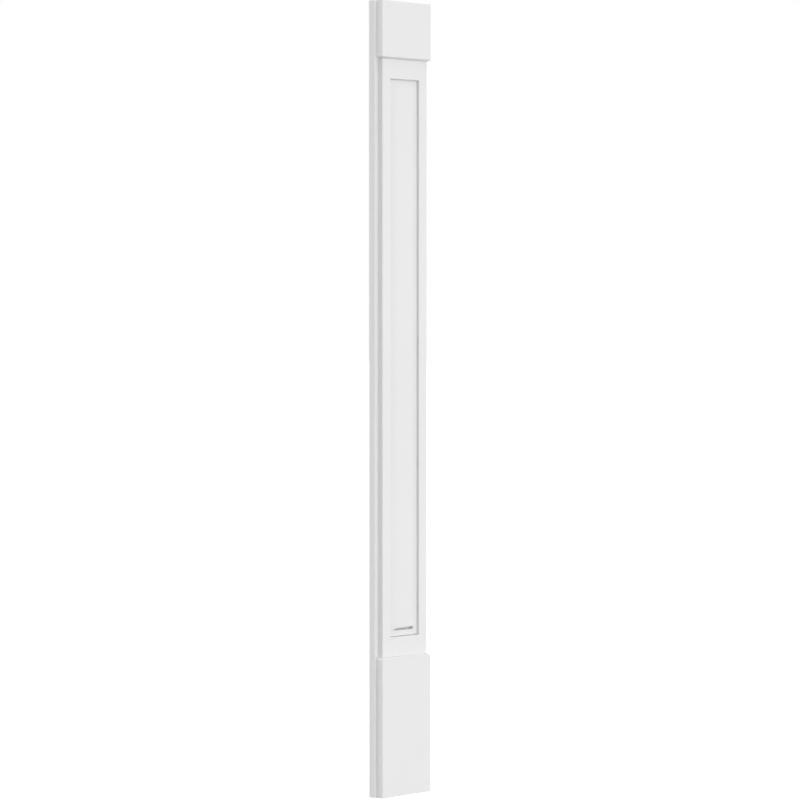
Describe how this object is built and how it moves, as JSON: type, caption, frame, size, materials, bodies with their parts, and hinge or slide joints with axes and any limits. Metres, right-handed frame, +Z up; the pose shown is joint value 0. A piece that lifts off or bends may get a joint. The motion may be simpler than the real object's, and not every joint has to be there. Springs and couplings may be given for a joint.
{
  "type": "pilaster",
  "caption": "Flat wall pilaster of plain white trim: a back board, a shaft with a tall raised panel, a capital block above and a taller base block below.",
  "frame": {"origin": "middle of the lower edge of the flat back, where the back plane meets the foot plane", "axes": "+Z up along the height, +Y out of the flat back into the wall, the panelled face looks along -Y, +X across the width"},
  "size_m": [0.228, 0.051, 2.438],
  "materials": {
    "trim": "smooth white cellular PVC, satin, with a very fine orange peel",
    "back_board": "smooth white cellular PVC board, satin face, finely sawn edges"
  },
  "bodies": {
    "root": {"back_board": "back_board", "panelled_shaft": "trim", "capital_block": "trim", "base_block": "trim"}
  },
  "joints": []
}
